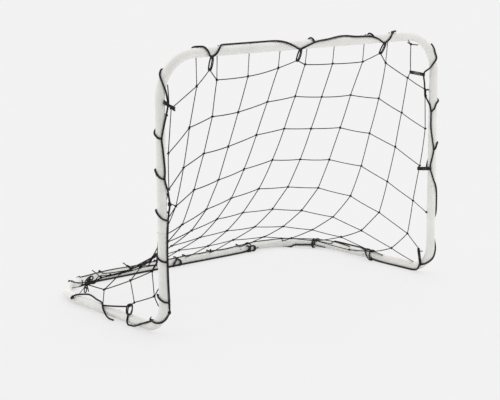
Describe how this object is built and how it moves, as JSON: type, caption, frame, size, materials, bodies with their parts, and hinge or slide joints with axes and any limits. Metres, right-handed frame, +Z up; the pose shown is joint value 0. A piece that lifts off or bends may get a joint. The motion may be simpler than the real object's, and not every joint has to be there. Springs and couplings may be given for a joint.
{
  "type": "practice goal with net",
  "caption": "Small knock-down practice goal of bent white steel tube with a slanting black string net, border rope and cord ties.",
  "frame": {"origin": "on the floor under the middle of the frame's outline", "axes": "+X across the mouth to the right as seen from in front, +Y from the mouth to the back, +Z up"},
  "size_m": [1.1609, 0.7036, 0.8285],
  "materials": {
    "white_frame": "satin white powder coat on steel tube",
    "button": "bright zinc-plated steel",
    "leaf_spring": "plain spring steel",
    "border_rope": "matte black braided rope",
    "tie_cord": "matte black cord",
    "net_string": "matte dark twisted string"
  },
  "bodies": {
    "goal": {"crossbar": "white_frame", "rear_bar": "white_frame", "left_post": "white_frame", "right_post": "white_frame", "left_foot_tube": "white_frame", "right_foot_tube": "white_frame", "rear_left_corner_tube": "white_frame", "rear_right_corner_tube": "white_frame", "spring_crossbar_left": "leaf_spring", "spring_post_left": "leaf_spring", "spring_rail_left": "leaf_spring", "spring_rear_left": "leaf_spring", "spring_crossbar_right": "leaf_spring", "spring_post_right": "leaf_spring", "spring_rail_right": "leaf_spring", "spring_rear_right": "leaf_spring", "rope_crossbar": "border_rope", "rope_left_post": "border_rope", "rope_right_post": "border_rope", "rope_rear": "border_rope", "rope_rear_right": "border_rope", "rope_left_end": "border_rope", "tie_crossbar_left": "tie_cord", "tie_crossbar_middle": "tie_cord", "tie_crossbar_right": "tie_cord", "tie_left_post_upper": "tie_cord", "tie_left_post_lower": "tie_cord", "tie_right_post_upper": "tie_cord", "tie_right_post_lower": "tie_cord", "tie_left_foot": "tie_cord", "tie_right_foot": "tie_cord", "tie_left_rail": "tie_cord", "tie_right_rail": "tie_cord", "tie_rear_middle": "tie_cord", "tie_rear_right": "tie_cord", "tie_corner_right": "tie_cord", "tie_corner_left": "tie_cord", "net_left_upper": "net_string", "net_middle_upper": "net_string", "net_right_upper": "net_string", "net_left_lower": "net_string", "net_middle_lower": "net_string", "net_right_lower": "net_string", "net_left_side": "net_string"},
    "button_crossbar_left": {"button_crossbar_left": "button"},
    "button_post_left": {"button_post_left": "button"},
    "button_rail_left": {"button_rail_left": "button"},
    "button_rear_left": {"button_rear_left": "button"},
    "button_crossbar_right": {"button_crossbar_right": "button"},
    "button_post_right": {"button_post_right": "button"},
    "button_rail_right": {"button_rail_right": "button"},
    "button_rear_right": {"button_rear_right": "button"}
  },
  "joints": [
    {"name": "press_crossbar_left", "type": "slide", "parent": "goal", "child": "button_crossbar_left", "axis": [0, -1, 0], "range_m": [0, 0.0044], "stiffness_N_per_m": 2500, "springref_m": -0.0005, "deforming": ["spring_crossbar_left"]},
    {"name": "press_post_left", "type": "slide", "parent": "goal", "child": "button_post_left", "axis": [0, -1, 0], "range_m": [0, 0.0044], "stiffness_N_per_m": 2500, "springref_m": -0.0005, "deforming": ["spring_post_left"]},
    {"name": "press_rail_left", "type": "slide", "parent": "goal", "child": "button_rail_left", "axis": [-1, 0, 0], "range_m": [0, 0.0044], "stiffness_N_per_m": 2500, "springref_m": -0.0005, "deforming": ["spring_rail_left"]},
    {"name": "press_rear_left", "type": "slide", "parent": "goal", "child": "button_rear_left", "axis": [0, 1, 0], "range_m": [0, 0.0044], "stiffness_N_per_m": 2500, "springref_m": -0.0005, "deforming": ["spring_rear_left"]},
    {"name": "press_crossbar_right", "type": "slide", "parent": "goal", "child": "button_crossbar_right", "axis": [0, -1, 0], "range_m": [0, 0.0044], "stiffness_N_per_m": 2500, "springref_m": -0.0005, "deforming": ["spring_crossbar_right"]},
    {"name": "press_post_right", "type": "slide", "parent": "goal", "child": "button_post_right", "axis": [0, -1, 0], "range_m": [0, 0.0044], "stiffness_N_per_m": 2500, "springref_m": -0.0005, "deforming": ["spring_post_right"]},
    {"name": "press_rail_right", "type": "slide", "parent": "goal", "child": "button_rail_right", "axis": [1, 0, 0], "range_m": [0, 0.0044], "stiffness_N_per_m": 2500, "springref_m": -0.0005, "deforming": ["spring_rail_right"]},
    {"name": "press_rear_right", "type": "slide", "parent": "goal", "child": "button_rear_right", "axis": [0, 1, 0], "range_m": [0, 0.0044], "stiffness_N_per_m": 2500, "springref_m": -0.0005, "deforming": ["spring_rear_right"]}
  ]
}
